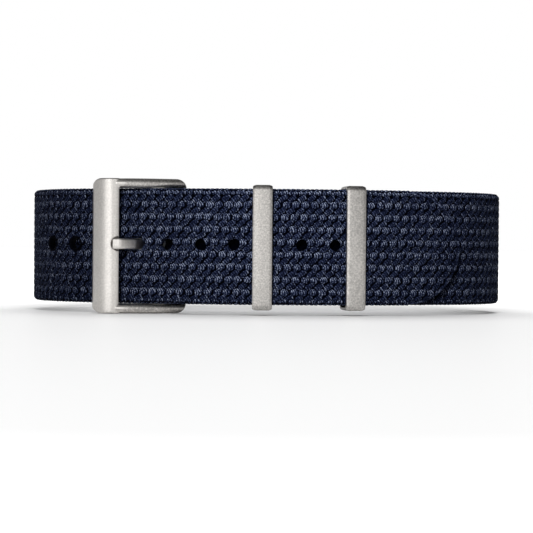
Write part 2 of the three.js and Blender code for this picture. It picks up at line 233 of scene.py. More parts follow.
def keeper_bulge(distance):
    """How far the inner layer stands inward where it passes over a keeper's hidden bar."""
    flat = KEEPER_WIDTH / 2 + KEEPER_TRAVEL + 0.3
    return (KEEPER_BAR + GAP) * (1 - ease(np.abs(distance), flat, flat + 2))


def flap_line():
    """The flap: under the main layer, round the right end and back, and folded through its keeper."""
    near = BACK_Y - MAIN_DEPTH
    fold = KEEPER_BAR / 2 + GAP + THICKNESS / 2
    fold_x = FLAP_KEEPER_X - KEEPER_WIDTH / 2 - KEEPER_TRAVEL - 0.2
    back = np.linspace(fold_x + 0.7, FLAP_TACK_X + 2.4, 200)
    returning = np.stack([back, near - PITCH_DEPTH - keeper_bulge(back - FLAP_KEEPER_X)], -1)
    return Line([
        run(-8.4, RIGHT_END_S, lambda s: LINING_DEPTH + sum(keeper_bulge(s - k) for k in KEEPER_S)),
        arc((fold_x, near - fold), fold, math.pi, math.pi * 2),
        returning,
    ])


# --- The weave ----------------------------------------------------------------------------------

REPEAT = 2.15          # across the strap, one row of long pads and one of round ones
PAD_PITCH = 1.65       # along the strap
ROW_SHIFT = 0.27       # how far each repeat lies towards the buckle from the one above
TOP_LONG_ROW = 8.3     # the top row of long pads, from the strap's middle
RELIEF = 0.30          # from the pads' tops to the grooves
PROUD = 0.07           # how far the pads' tops stand past the CAD faces
EDGE_PROUD = 0.06      # and how much further they do round the edges
INNER_SHIFT = 0.8      # how far the inner face's weave lies along the strap from the outer face's
FLAT_HALF = STRAP_WIDTH / 2 - THICKNESS / 2
EDGE_ACROSS = FLAT_HALF + THICKNESS / 2 * math.pi / 2

# Each kind of pad: half length, half width, lean in degrees, squareness, height, and how its strands
# bow and fan out
LONG_PAD = dict(a=0.92, b=0.52, lean=37, power=3.6, top=1.0, bow=0.10, fan=0.0)
ROUND_PAD = dict(a=0.78, b=0.68, lean=12, power=2.4, top=0.98, bow=0.30, fan=0.45)
EDGE_PAD = dict(a=0.50, b=0.44, lean=18, power=2.6, top=0.92, bow=0.2, fan=0.0)

# Each pad's own small departures, by row and column: in place, lean, size and height
JITTER = np.random.default_rng(41).uniform(-1, 1, (64, 512, 6))


def pad_row(field, along, across, kind, row, centre, phase, pitch):
    """Lays one row of pads over the field, keeping whichever pad is higher."""
    best, second, strand, painted_glint_strength, painted_glint_place = field
    cell = np.round((along - phase) / pitch)
    for step in (-1, 0, 1):
        index = (cell + step).astype(int)
        j = JITTER[row.astype(int) % 64, index % 512]
        x = along - phase - (cell + step) * pitch - 0.07 * j[..., 0]
        y = across - centre - 0.05 * j[..., 1]
        lean = np.radians(kind["lean"] + 5 * j[..., 2])
        u = (x * np.cos(lean) + y * np.sin(lean)) / (kind["a"] * (1 + 0.05 * j[..., 3]))
        v = (-x * np.sin(lean) + y * np.cos(lean)) / (kind["b"] * (1 + 0.05 * j[..., 4]))
        reach = (np.abs(u) ** kind["power"] + np.abs(v) ** kind["power"]) ** (1 / kind["power"])
        height = (kind["top"] + 0.05 * j[..., 5]) * (1 - 0.35 * reach ** 2 - 0.65 * reach ** 7)
        higher = height > best
        second[:] = np.maximum(second, np.where(higher, best, height))
        best[higher] = height[higher]
        strands = u * kind["a"] * (1 + kind["fan"] * v) + kind["bow"] * v * v + 3.1 * j[..., 3]
        strand[higher] = strands[higher]
        # Each pad's random strength for its painted glints
        painted_glint_strength[higher] = (0.5 + 0.5 * j[..., 5])[higher]
        # Painted highlight: glints are brighter at a long pad's ends and lower right side, and on a round
        # pad's upper half, where the light catches them
        edge = ease(np.abs(u), 0.35, 0.85) + 0.6 * ease(-v, 0.4, 0.8)
        painted_glint_place[higher] = (edge * 0.8 if kind is LONG_PAD else 0.45 + 0.55 * ease(v, -0.5, 0.5))[higher]


def weave(along, across):
    """The relief from 0 in the grooves to 1 on the pads, the place among a pad's strands, a number from
    0 to 1 for each pad that scales its painted glints, and where on each pad the glints are painted
    brighter."""
    field = [np.full(along.shape, value) for value in (-0.5, -0.5, 0.0, 0.0, 0.0)]
    row = np.clip(np.round((TOP_LONG_ROW - across) / REPEAT), 0, 8)
    centre = TOP_LONG_ROW - REPEAT * row
    pad_row(field, along, across, LONG_PAD, row * 2 + 1, centre,
            PAD_PITCH / 2 - ROW_SHIFT * (row - 1), PAD_PITCH)
    row = np.clip(np.round((TOP_LONG_ROW - REPEAT / 2 - across) / REPEAT), 0, 7)
    centre = TOP_LONG_ROW - REPEAT / 2 - REPEAT * row
    pad_row(field, along, across, ROUND_PAD, row * 2 + 2, centre, -ROW_SHIFT * row, PAD_PITCH)
    # Two rows of small pads round each edge, with rows of the jitter table of their own
    side = np.sign(across)
    for place, number, phase in ((FLAT_HALF, 30, 0.0), (EDGE_ACROSS, 34, 0.4)):
        pad_row(field, along, across, EDGE_PAD, number + side, side * place, phase, PAD_PITCH / 2)
    best, second, strand, painted_glint_strength, painted_glint_place = field
    crease = 0.35 + 0.65 * ease(best - second, 0.0, 0.28)
    return np.clip(best + 0.12, 0, 1.12) / 1.12 * crease, strand, painted_glint_strength, np.clip(painted_glint_place, 0, 1)


# --- Meshes -------------------------------------------------------------------------------------


def world(points):
    """Millimetres in the design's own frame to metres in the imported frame."""
    return (np.asarray(points, float) + [0, SHIFT_Y, 0]) * MM


def place_in_scene(name, mesh):
    obj = bpy.data.objects.new(name, mesh)
    bpy.context.scene.collection.objects.link(obj)
    return obj


def new_object(name, points, faces, smooth=True):
    """A small mesh from lists of points and faces."""
    mesh = bpy.data.meshes.new(name)
    mesh.from_pydata([tuple(p) for p in np.asarray(points, float)], [], [tuple(f) for f in faces])
    mesh.validate()
    if smooth:
        mesh.shade_smooth()
    return place_in_scene(name, mesh)


def quad_mesh(name, points, quads, triangles):
    """A large mesh straight from arrays."""
    mesh = bpy.data.meshes.new(name)
    mesh.vertices.add(len(points))
    mesh.vertices.foreach_set("co", np.asarray(points, np.float32).ravel())
    loops = np.concatenate([quads.ravel(), triangles.ravel()]).astype(np.int32)
    sizes = np.r_[np.full(len(quads), 4), np.full(len(triangles), 3)]
    mesh.loops.add(len(loops))
    mesh.loops.foreach_set("vertex_index", loops)
    mesh.polygons.add(len(sizes))
    mesh.polygons.foreach_set("loop_start", (np.cumsum(sizes) - sizes).astype(np.int32))
    mesh.update(calc_edges=True)
    mesh.shade_smooth()
    return place_in_scene(name, mesh)


def section(step):
    """A strap's cross-section, from the middle of its lower edge round the outer face and back.
    For each point: the share of the flat half-width, the rise past it, the offset along the
    normal, and the direction that the surface faces as (up, outward)."""
    half = THICKNESS / 2
    flat = max(8, int(round(2 * FLAT_HALF / step)))
    turn = 5  # steps round each quarter of an edge
    share, rise, offset, up, facing = [], [], [], [], []

    def point(q, r, angle, side):
        share.append(q)
        rise.append(r * half * math.sin(angle))
        offset.append(side * half * math.cos(angle))
        up.append(r * math.sin(angle))
        facing.append(side * math.cos(angle))

    quarter = [math.pi / 2 * k / turn for k in range(turn + 1)]
    for angle in reversed(quarter):
        point(-1, -1, angle, 1)
    for k in range(1, flat):
        point(-1 + 2 * k / flat, 0, 0, 1)
    for angle in quarter:
        point(1, 1, angle, 1)
    for angle in list(reversed(quarter))[1:]:
        point(1, 1, angle, -1)
    for k in range(1, flat):
        point(1 - 2 * k / flat, 0, 0, -1)
    for angle in quarter[:-1]:
        point(-1, -1, angle, -1)
    return [np.array(v) for v in (share, rise, offset, up, facing)]


def row_lengths(first, last, step, tip):
    """The lengths of a strip's rows along its line, drawn together towards a rounded tip."""
    if not tip:
        return np.linspace(first, last, max(3, int(round((last - first) / step)) + 1))
    start = last - TIP_LENGTH
    straight = np.linspace(first, start, int((start - first) / step))
    turn = np.linspace(0, math.pi / 2 * 0.985, int(TIP_LENGTH * 1.35 / step))
    return np.r_[straight, start + TIP_LENGTH * np.sin(turn)[1:]]


def punch(T, Z, holes):
    """The grid of lengths and heights with the edges of its holes drawn onto their outlines, the quads
    that stay and the ones inside a hole."""
    rows, columns = T.shape
    i, c = np.meshgrid(np.arange(rows - 1), np.arange(columns), indexing="ij")
    here, right = i * columns + c, i * columns + (c + 1) % columns
    quads = np.stack([here, right, right + columns, here + columns], -1).reshape(-1, 4)
    gone = np.zeros(len(quads), bool)
    for length, height, radius, *pulled in holes:
        slot = pulled[0] if pulled else 0.0
        dx, dz = T - length, Z - (height - STRAP_MIDDLE)
        dx = dx - np.clip(dx, -slot, slot)
        distance = np.hypot(dx, dz)
        inside = distance.ravel()[quads].mean(1) < radius
        touched = np.zeros(T.size, bool)
        touched[quads[inside & ~gone].ravel()] = True
        kept = np.zeros(T.size, bool)
        kept[quads[~inside].ravel()] = True
        edge = (touched & kept).reshape(T.shape)
        scale = np.where(edge, radius / np.maximum(distance, 1e-6) - 1, 0)
        T = T + dx * scale
        Z = Z + dz * scale
        gone |= inside
    return T, Z, quads[~gone], quads[gone]


def hole_walls(removed, mirror):
    """Quads that join the edges of the holes in the outer face to the ones in the inner face."""
    columns = len(mirror)
    if not len(removed):
        return np.zeros((0, 4), int)
    pairs = np.concatenate([removed[:, [k, (k + 1) % 4]] for k in range(4)])
    _, index, count = np.unique(np.sort(pairs, 1), axis=0, return_index=True, return_counts=True)
    edges = pairs[index[count == 1]]
    edges = edges[edges[:, 0] % columns < columns // 2]
    far = (edges // columns) * columns + mirror[edges % columns]
    return np.stack([edges[:, 0], edges[:, 1], far[:, 1], far[:, 0]], -1)


def sealed_edge(T, Z, last, rim):
    """1 in the smooth sealed edge round the tip that ends at last, falling to 0 at the rim's width."""
    tip = (T - (last - TIP_LENGTH)) / TIP_LENGTH
    reach = np.where(tip > 0, np.hypot(np.maximum(tip, 0), Z / (STRAP_WIDTH / 2)), 0)
    from_edge = (1 - reach) * TIP_LENGTH
    return np.where(tip > 0, 1 - ease(from_edge, rim * 0.45, rim), 0)


def strip(name, line, first, last, step, half_width=None, holes=(), rim=None, shaded=()):
    """One closed length of woven strap between two lengths along its line.

    half_width gives the half-width at each length. holes are (length, height, radius) or
    (length, height, radius, half slot length). rim is the width of a smooth sealed edge. shaded are
    the (length, height) places under a hole where shade is painted into the colour."""
    t = row_lengths(first, last, step, rim)
    share, rise, offset, up, facing = section(step)
    rows, columns = len(t), len(share)
    half = half_width(t) if half_width else np.full(rows, STRAP_WIDTH / 2)
    flat_half = np.maximum(half - THICKNESS / 2, 0)[:, None]
    squeeze = np.minimum(1, half / (THICKNESS / 2))[:, None]
    T = np.repeat(t[:, None], columns, 1)
    Z = share[None] * flat_half + rise[None] * squeeze
    T, Z, kept, removed = punch(T, Z, holes)

    outer, inner = (line.sample(line.face[name], T) for name in ("outer", "inner"))
    along = np.where(facing[None] >= 0, outer, inner + INNER_SHIFT)
    round_edge = THICKNESS / 2 * np.arctan2(np.abs(up), np.abs(facing))[None]
    wrapped = np.where(np.abs(share)[None] == 1, np.sign(share)[None] * (flat_half + round_edge), Z)
    relief, strand, painted_glint_strength, painted_glint_place = weave(along - line.origin, wrapped)
    if rim:
        sealed = sealed_edge(T, Z, last, rim)
        relief = relief * (1 - sealed) + 0.5 * sealed
        strand = strand * (1 - sealed)
    # Painted shade: the relief, and with it the colour, is darkened round each place under a hole
    lit = np.ones(T.shape)
    for length, height in shaded:
        lit *= ease(np.hypot(T - length, Z - (height - STRAP_MIDDLE)), 1.15, 1.6)

    sink = RELIEF * (1 - relief) - PROUD - EDGE_PROUD * (np.abs(up) > 0.5)[None]
    out = offset[None] * squeeze - facing[None] * sink
    place = line.sample(line.points, T) + line.sample(line.normal, T) * out[..., None]
    height = STRAP_MIDDLE + Z - up[None] * sink * squeeze
    points = np.concatenate([place, height[..., None]], -1).reshape(-1, 3)

    mirror = (columns - np.arange(columns)) % columns
    middle = columns // 2
    k = np.arange(1, middle - 1)
    cap = np.stack([k, k + 1, mirror[k + 1], mirror[k]], -1)
    corners = np.array([[0, 1, columns - 1], [middle - 1, middle, middle + 1]])
    end = (rows - 1) * columns
    quads = np.concatenate([kept, hole_walls(removed, mirror), cap, end + cap[:, ::-1]])
    triangles = np.concatenate([corners, (end + corners)[:, ::-1]])
    obj = quad_mesh(name, world(points), quads, triangles)
    # The relief attribute also carries the painted shade under the holes
    for label, values in (("relief", relief * lit), ("strand", strand), ("painted_glint_strength", painted_glint_strength), ("painted_glint_place", painted_glint_place)):
        layer = obj.data.attributes.new(label, "FLOAT", "POINT")
        layer.data.foreach_set("value", values.astype(np.float32).ravel())
    add_uv(obj, rows, columns, kept)
    return obj


def add_uv(obj, rows, columns, quads):
    """Lays the whole strip out as one rectangle, with its ends and hole walls beside it."""
    layer = obj.data.uv_layers.new(name="OFBake")
    loops = np.zeros(len(obj.data.loops), np.int32)
    obj.data.loops.foreach_get("vertex_index", loops)
    row, column = loops // columns, loops % columns
    u = 0.03 + 0.94 * row / (rows - 1)
    v = column / columns
    kept = len(quads) * 4
    faces = v[:kept].reshape(-1, 4)
    faces[quads[:, 1] % columns == 0, 1:3] = 1.0
    v[:kept] = faces.ravel()
    rest = slice(kept, None)
    u[rest] = np.where(row[rest] < rows / 2, 0.005 + 0.01 * (column[rest] > columns // 2), 0.985)
    u[rest] += 0.006 * (column[rest] > columns // 2)
    layer.data.foreach_set("uv", np.stack([u, v], -1).astype(np.float32).ravel())


# --- Materials ----------------------------------------------------------------------------------


def node(tree, kind, links=None, **settings):
    made = tree.nodes.new(kind)
    for key, value in settings.items():
        setattr(made, key, value)
    for key, value in (links or {}).items():
        if isinstance(value, bpy.types.NodeSocket):
            tree.links.new(value, made.inputs[key])
        else:
            made.inputs[key].default_value = value
    return made


def math_node(tree, operation, a, b=0.0, c=0.0):
    return node(tree, "ShaderNodeMath", {0: a, 1: b, 2: c}, operation=operation).outputs[0]


def mix(tree, factor, a, b):
    made = node(tree, "ShaderNodeMix", {"Factor": factor}, data_type="RGBA")
    for key, value in ((6, a), (7, b)):
        if isinstance(value, bpy.types.NodeSocket):
            tree.links.new(value, made.inputs[key])
        else:
            made.inputs[key].default_value = value
    return made.outputs[2]


def ramp(tree, value, low, high):
    return node(tree, "ShaderNodeMapRange", {"Value": value, "From Min": low, "From Max": high}).outputs[0]


def new_material(name, **constants):
    material = bpy.data.materials.new(name)
    material.use_nodes = True
    tree = material.node_tree
    shader = tree.nodes["Principled BSDF"]
    for key, value in constants.items():
        shader.inputs[key.replace("_", " ")].default_value = value
    return material, tree, shader


def attribute(tree, name):
    return node(tree, "ShaderNodeAttribute", attribute_name=name).outputs["Fac"]


def object_noise(tree, scale, detail=2.0):
    where = node(tree, "ShaderNodeTexCoord").outputs["Object"]
    noise = node(tree, "ShaderNodeTexNoise", {"Vector": where, "Scale": scale, "Detail": detail})
    return noise.outputs["Fac"]


def shades(tree, value, stops):
    """A colour ramp through (place, colour) stops."""
    made = node(tree, "ShaderNodeValToRGB", {"Fac": value})
    elements = made.color_ramp.elements
    for place, colour in stops[1:-1]:
        elements.new(place)
    for element, (place, colour) in zip(elements, stops):
        element.position = place
        element.color = (*colour, 1)
    return made.outputs["Color"]


STRAND_PERIOD = 0.40   # from one strand of a pad to the next


def webbing_material():
    """Navy polyester: multifilament strands, with painted shade darkening the grooves and painted glints on a
    few filaments.
    """
    material, tree, shader = new_material("webbing", Roughness=0.75, Specular_IOR_Level=0.04)
    relief, strand, painted_glint_strength, painted_glint_place = (attribute(tree, n) for n in ("relief", "strand", "painted_glint_strength", "painted_glint_place"))
    wander = object_noise(tree, 900, 3)
    turn = math_node(tree, "MULTIPLY", strand, 2 * math.pi / STRAND_PERIOD)
    wave = math_node(tree, "SINE", math_node(tree, "MULTIPLY_ADD", wander, 2.2, turn))
    wave = math_node(tree, "MULTIPLY_ADD", wave, 0.5, 0.5)
    filaments = ramp(tree, object_noise(tree, 4300, 2), 0.34, 0.66)
    # Painted shade: the colour darkens towards the grooves
    painted_groove_shade = ramp(tree, relief, 0.22, 0.62)
    # Painted glints along the strands, scaled by filament noise and by each pad's glint place and strength
    painted_glint = math_node(tree, "MULTIPLY", wave, math_node(tree, "MULTIPLY_ADD", filaments, 0.9, 0.1))
    painted_glint = math_node(tree, "MULTIPLY", painted_glint, math_node(tree, "MULTIPLY_ADD", painted_glint_place, 0.75, 0.35))
    painted_glint = math_node(tree, "MULTIPLY", painted_glint, math_node(tree, "MULTIPLY_ADD", painted_glint_strength, 0.4, 0.8))
    # The shade value mixes random filament tone with the painted glints, then takes the painted groove shade
    shade = math_node(tree, "MULTIPLY_ADD", filaments, 0.16, math_node(tree, "MULTIPLY", painted_glint, 0.95))
    shade = math_node(tree, "MULTIPLY", math_node(tree, "ADD", shade, 0.13), painted_groove_shade)
    # The ramp runs from the painted groove shade through the navy to the painted glint colour at its top
    colour = shades(tree, ramp(tree, shade, 0.12, 0.95), [
        (0.0, (0.0002, 0.0004, 0.0020)),
        (0.12, (0.0034, 0.0048, 0.0145)),
        (0.28, (0.0125, 0.0180, 0.0450)),
        (0.48, (0.043, 0.056, 0.110)),
        (0.68, (0.105, 0.130, 0.205)),
        (1.0, (0.30, 0.34, 0.45)),
    ])
    tree.links.new(colour, shader.inputs["Base Color"])
    height = math_node(tree, "MULTIPLY_ADD", filaments, 0.3, wave)
    bump = node(tree, "ShaderNodeBump", {"Height": height, "Strength": 0.8, "Distance": 0.00005})
    tree.links.new(bump.outputs[0], shader.inputs["Normal"])
    return material


def thread_material():
    material, tree, shader = new_material("stitching", Sheen_Weight=0.3, Roughness=0.6)
    shade = object_noise(tree, 2600, 3)
    colour = mix(tree, shade, (0.006, 0.009, 0.034, 1), (0.03, 0.045, 0.13, 1))
    tree.links.new(colour, shader.inputs["Base Color"])
    fuzz = object_noise(tree, 9000, 1)
    bump = node(tree, "ShaderNodeBump", {"Height": fuzz, "Strength": 0.5, "Distance": 0.00004})
    tree.links.new(bump.outputs[0], shader.inputs["Normal"])
    return material


def steel_material(name, colour, roughness, grain):
    """Satin steel with a fine grain. A blasting attribute makes it rougher and a little darker:
    the keepers' blasted finish, and a painted shade on the buckle's arms.
    """
    material, tree, shader = new_material(name, Metallic=1.0)
    blast_and_shade = attribute(tree, "blast_and_shade")
    cloud = object_noise(tree, 260, 3)
    fine = ramp(tree, object_noise(tree, 3400, 3), 0.30, 0.70)
    strength = math_node(tree, "MULTIPLY_ADD", blast_and_shade, 0.55, 0.35)
    grainy = math_node(tree, "MULTIPLY", math_node(tree, "SUBTRACT", fine, 0.5), strength)
    shade = math_node(tree, "MULTIPLY_ADD", cloud, 0.4, grainy)
    # The blasting attribute darkens the colour: a darker blasted finish on the keepers, painted shade on the
    # buckle's arms
    shade = math_node(tree, "ADD", shade, math_node(tree, "MULTIPLY_ADD", blast_and_shade, -0.22, 0.35))
    dark = tuple(c * 0.70 for c in colour) + (1,)
    lit = tuple(min(1, c * 1.25) for c in colour) + (1,)
    tree.links.new(mix(tree, shade, dark, lit), shader.inputs["Base Color"])
    rough = math_node(tree, "MULTIPLY_ADD", blast_and_shade, 0.10, roughness)
    tree.links.new(math_node(tree, "MULTIPLY_ADD", cloud, 0.08, rough), shader.inputs["Roughness"])
    bump = node(tree, "ShaderNodeBump", {"Height": fine, "Strength": grain, "Distance": 0.00002})
    tree.links.new(bump.outputs[0], shader.inputs["Normal"])
    return material


WEBBING = webbing_material()
THREAD = thread_material()
SATIN = steel_material("satin_steel", (0.66, 0.635, 0.605), 0.26, 0.30)
BRIGHT = steel_material("spring_bar_steel", (0.62, 0.61, 0.60), 0.28, 0.1)


def dress(obj, material, slot, body, *nodes):
    """Gives a piece its material, the body it rides on and the CAD nodes it replaces. The slot is not used.
    """
    obj.data.materials.clear()
    obj.data.materials.append(material)
    if body:
        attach(obj, body)
    if nodes:
        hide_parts(*nodes)
    return obj


# --- Webbing pieces -----------------------------------------------------------------------------

# The size of a strip's quads, by how plainly the camera sees it
FINE = 0.115
MEDIUM = 0.19
COARSE = 0.24


def tip_half_width(start, full=STRAP_WIDTH / 2):
    """The half-width towards the tip, which is half an ellipse from start on."""
    return lambda t: full * np.sqrt(np.clip(1 - (np.maximum(t - start, 0) / TIP_LENGTH) ** 2, 0.0004, 1))


def make_strap():
    line = strap_line()
    tail_zero = line.nearest(at(0.0, TAIL_DEPTH))
    line.origin = float(line.sample(line.face["outer"], tail_zero))

    def tail(s):
        return line.nearest(at(s, TAIL_DEPTH))

    def main(s):
        return line.nearest(at(s, MAIN_DEPTH))

    fold = BARREL_RADIUS + GAP + THICKNESS / 2
    bar_angle = float(station(HINGE_S)[3])
    bar = at(HINGE_S, HINGE_DEPTH)
    turn = line.nearest(bar + fold * np.array([-math.cos(bar_angle), -math.sin(bar_angle)]))
    punched = [(tail(s), HOLE_HEIGHT, HOLE_RADIUS) for s in HOLES_S if s != BUCKLED_S]
    punched.append((tail(TONGUE_HOLE[0]), HOLE_HEIGHT, *TONGUE_HOLE[1:]))
    # Places on the main layer under the tail's holes, where shade is painted into the colour
    shaded = [(main(s), HOLE_HEIGHT) for s in HOLES_S]
    fold_slot = [(turn - 0.55, HOLE_HEIGHT, 1.15, 0.1)]
    right_corner = line.nearest((18.0, BACK_Y - THICKNESS / 2))
    left_corner = line.nearest((SEAT_END_X - 1, BACK_Y - THICKNESS / 2 - SEAT_STEP))
    # Each length of strap: its name, where it starts and ends, the size of its quads and its holes
    cuts = [
        ("strap_fold", 0.0, main(-9.0), COARSE, fold_slot),
        ("strap_under", main(-9.0), main(29.0), COARSE, ()),
        ("strap_right_front", main(29.0), main(45.0), FINE, ()),
        ("strap_right_end", main(45.0), main(69.0), FINE, ()),
        ("strap_back_right", main(69.0), right_corner - 12, MEDIUM, ()),
        ("strap_back", right_corner - 12, left_corner, MEDIUM, ()),
        ("strap_left_back", left_corner, tail(-60.0), MEDIUM, ()),
        ("strap_left_end", tail(-60.0), tail(-38.0), FINE, punched),
        ("strap_left_front", tail(-38.0), tail(-27.8), FINE, punched),
        ("strap_front", tail(-27.8), tail(KEEPER_S[0] - 1.2), FINE, punched),
        ("strap_front_right", tail(KEEPER_S[0] - 1.2), tail(TAIL_HINGE_S), FINE, punched),
    ]
    for name, first, last, step, holes in cuts:
        here = [h for h in holes if first < h[0] < last]
        under = [place for place in shaded if first - 2 < place[0] < last + 2]
        piece = strip(name, line, first, last, step, holes=here, shaded=under)
        dress(piece, WEBBING, "webbing", "band")
    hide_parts("strap_webbing")
    first, last = tail(TAIL_HINGE_S), line.t[-1]
    end = strip("strap_tail", line, first, last, FINE, half_width=tip_half_width(last - TIP_LENGTH), rim=0.9)
    dress(end, WEBBING, "webbing", None, "strap_tail_end")
    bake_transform(end)


def make_flap():
    line = flap_line()
    line.origin = 0.37
    total = line.t[-1]
    marks = [0, line.nearest(at(30.0, LINING_DEPTH)), line.nearest(at(66.0, LINING_DEPTH)), total - 20, total]
    names = ["flap_lining", "flap_right_end", "flap_seat", "flap_fold"]
    for number, name in enumerate(names):
        piece = strip(name, line, marks[number], marks[number + 1], COARSE)
        dress(piece, WEBBING, "webbing", "band")
        if number == 0:
            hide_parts("flap_webbing")


def make_tack(name, place, angle):
    """A dense zigzag of thread: one rounded stitch beside another over a low padded core."""
    stitches, around, along = 34, 8, 7
    thickest, flatness = 0.26, 0.16 / 0.26
    margin = 0.1
    pitch = (TACK_LENGTH - 2 * margin) / stitches
    points, faces = [], []
    for k in range(stitches):
        z = -TACK_LENGTH / 2 + margin + pitch * (k + 0.5)
        slant = 0.10 * (1 if k % 2 else -1)
        base = len(points)
        for i in range(along):
            u = -1 + 2 * i / (along - 1)
            thick = thickest * math.sqrt(max(0.05, 1 - abs(u) ** 3))
            crown = 0.14 + 0.18 * (1 - u * u)
            for j in range(around):
                turn = 2 * math.pi * j / around
                lift = crown + flatness * thick * math.sin(turn)
                points.append((u * TACK_WIDTH / 2, lift, z + slant * u + thick * math.cos(turn)))
        for i in range(along - 1):
            for j in range(around):
                nxt = (j + 1) % around
                a, b = base + i * around, base + (i + 1) * around
                faces.append((a + j, b + j, b + nxt, a + nxt))
        faces.append(tuple(base + j for j in range(around)))
        faces.append(tuple(base + (along - 1) * around + j for j in reversed(range(around))))
    turned = rotate(points, angle) + [place[0], place[1], STRAP_MIDDLE]
    obj = new_object("stitches_" + name[-1], world(turned), faces)
    dress(obj, THREAD, "stitching", "band", name)


def rotate(points, angle):
    """Points turned about Z."""
    p = np.asarray(points, float)
    c, s = math.cos(angle), math.sin(angle)
    return np.stack([p[:, 0] * c - p[:, 1] * s, p[:, 0] * s + p[:, 1] * c, p[:, 2]], -1)


def make_tacks():
    depth = LINING_DEPTH + THICKNESS / 2
    for number, s in enumerate(TACKS_S):
        make_tack(f"bar_tack_{number + 1}", at(s, depth), float(station(s)[3]))
    make_tack("bar_tack_6", (FLAP_TACK_X, BACK_Y - depth), math.pi)


# --- Steel pieces -------------------------------------------------------------------------------


def evaluated(obj, *modifiers):
    """obj with these modifiers applied, as (kind, settings) pairs."""
    for kind, settings in modifiers:
        modifier = obj.modifiers.new(kind.lower(), kind)
        for key, value in settings.items():
            setattr(modifier, key, value)
    bpy.context.view_layer.update()
    graph = bpy.context.evaluated_depsgraph_get()
    mesh = bpy.data.meshes.new_from_object(obj.evaluated_get(graph))
    obj.modifiers.clear()
    obj.data = mesh
    mesh.name = obj.name
    return obj


def rounded_rect(left, bottom, right, top, radius, steps=8):
    """The outline of a rectangle with rounded corners."""
    corners = [(right - radius, bottom + radius, -90), (right - radius, top - radius, 0),
               (left + radius, top - radius, 90), (left + radius, bottom + radius, 180)]
    out = []
    for x, y, start in corners:
        for k in range(steps + 1):
            angle = math.radians(start + 90 * k / steps)
            out.append((x + radius * math.cos(angle), y + radius * math.sin(angle)))
    return out


def ring_quads(count, rings, closed=False):
    """Quads that join rings of count points each, and the last ring to the first if it is closed."""
    faces = []
    for i in range(rings if closed else rings - 1):
        a, b = i * count, (i + 1) % rings * count
        faces += [(a + k, a + (k + 1) % count, b + (k + 1) % count, b + k) for k in range(count)]
    return faces


# A keeper's edges as (distance in from its side, drop): a chamfer outside, a small break inside
KEEPER_CHAMFER = [(0.58, 0.0), (0.50, 0.012), (0.12, 0.15), (0.05, 0.20), (0.012, 0.27), (0.0, 0.36)]
KEEPER_BREAK = [(0.15, 0.0), (0.06, 0.02), (0.02, 0.06), (0.0, 0.15)]


def make_keeper(node_name, body, place, angle):
    """A flat steel ring with chamfered outer edges, drawn as (along, inward, up)."""
    low = -GAP
    high = low + 2 * PITCH_DEPTH + GAP
    half = KEEPER_OPENING / 2
    outer = (low - KEEPER_BAR, -half - KEEPER_SIDE, high + KEEPER_BAR, half + KEEPER_SIDE, 0.9)
    slack = KEEPER_SLACK
    inner = (low - slack, -half - slack, high + slack, half + slack, 0.3)
    rings = []
    for (left, bottom, right, top, radius), edge in ((outer, KEEPER_CHAMFER), (inner, KEEPER_BREAK)):
        inward = 1 if edge is KEEPER_CHAMFER else -1
        for side in (-inward, inward):
            for back, drop in (edge if side == inward else reversed(edge)):
                move = inward * drop
                ring = rounded_rect(left + move, bottom + move, right - move, top - move, radius - move)
                rings.append([(side * (KEEPER_WIDTH / 2 - back), *p) for p in ring])
    points = [p for ring in rings for p in ring]
    turned = rotate(points, angle) + [place[0], place[1], STRAP_MIDDLE - KEEPER_SAG]
    obj = new_object(body, turned, ring_quads(len(rings[0]), len(rings), closed=True))
    outward(obj)
    finish_steel(obj)
    set_blast_and_shade(obj, np.ones(len(obj.data.vertices)))
    dress(obj, SATIN, "satin_steel", body, node_name)


def set_blast_and_shade(obj, amounts):
    """Gives each vertex its amount of blasting, which on the buckle's arms is a painted shade."""
    obj.data.attributes.new("blast_and_shade", "FLOAT", "POINT").data.foreach_set("value", amounts)


def finish_steel(obj):
    """Turns a millimetre mesh in the design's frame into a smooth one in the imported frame."""
    co = np.zeros(len(obj.data.vertices) * 3)
    obj.data.vertices.foreach_get("co", co)
    obj.data.vertices.foreach_set("co", world(co.reshape(-1, 3)).ravel())
    obj.data.update()
    obj.data.shade_smooth()


def closed_solid(name, points, count):
    """A closed solid through rings of count points each, capped at both ends."""
    last = len(points) - count
    faces = ring_quads(count, len(points) // count)
    faces += [tuple(reversed(range(count))), tuple(range(last, last + count))]
    obj = new_object(name, points, faces, smooth=False)
    evaluated(obj, ("TRIANGULATE", {}))
    outward(obj)
    return obj


def prism(name, outline, bottom, top):
    """A closed prism between two heights over an outline in the XY plane."""
    return closed_solid(name, [(x, y, z) for z in (bottom, top) for x, y in outline], len(outline))


def outward(obj):
    """Makes the faces of a closed mesh look outward."""
    bm = bmesh.new()
    bm.from_mesh(obj.data)
    bmesh.ops.recalc_face_normals(bm, faces=bm.faces)
    bm.to_mesh(obj.data)
    bm.free()


def disc(centre, radius, sides=64):
    turn = np.linspace(0, 2 * math.pi, sides, endpoint=False)
    return np.stack([centre[0] + radius * np.cos(turn), centre[1] + radius * np.sin(turn)], -1)


def spline(places, count):
    """A smooth line through (s, depth) places, as the CAD draws it."""
    p = np.array([at(s, d) for s, d in places])
    out = []
    for k in range(count + 1):
        u = k / count * (len(p) - 1)
        i = min(int(u), len(p) - 2)
        w = u - i
        p0, p1, p2, p3 = p[max(i - 1, 0)], p[i], p[i + 1], p[min(i + 2, len(p) - 1)]
        v0, v1 = (p2 - p0) / 2, (p3 - p1) / 2
        cubic, square = 2 * p1 - 2 * p2 + v0 + v1, -3 * p1 + 3 * p2 - 2 * v0 - v1
        out.append(cubic * w ** 3 + square * w ** 2 + v0 * w + p1)
    return np.array(out)


